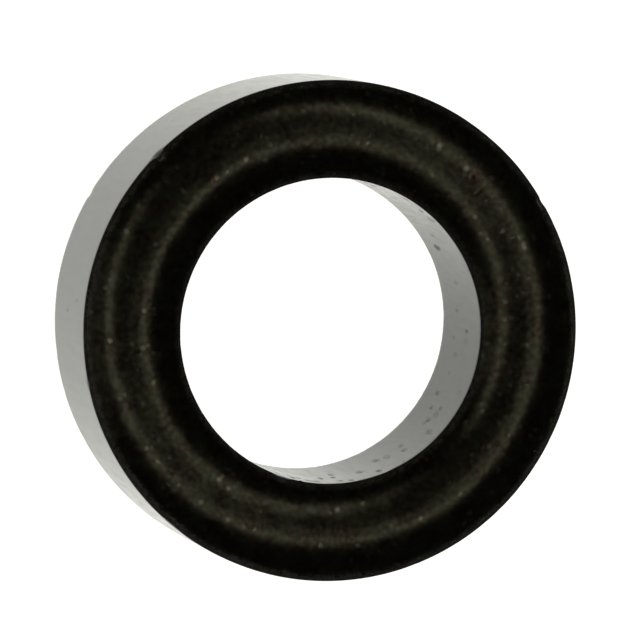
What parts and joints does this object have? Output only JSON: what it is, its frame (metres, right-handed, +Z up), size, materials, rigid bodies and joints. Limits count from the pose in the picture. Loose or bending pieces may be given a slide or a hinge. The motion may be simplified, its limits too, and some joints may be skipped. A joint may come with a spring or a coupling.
{
  "type": "ferrite ring core",
  "caption": "Plain black ferrite ring core with crowned faces and an open bore, for winding a coil on or clearing noise from a wire.",
  "frame": {"origin": "on the ring's axis, at the level of the lower crest that the core lies on", "axes": "+Z up along the ring's axis, out of the face that the picture shows; +X is the picture's right and +Y its top"},
  "size_m": [0.031, 0.031, 0.0126],
  "materials": {
    "ferrite": "bare sintered ferrite, matt near-black with a fine pressed grain"
  },
  "bodies": {
    "root": {"ring_core": "ferrite"}
  },
  "joints": []
}
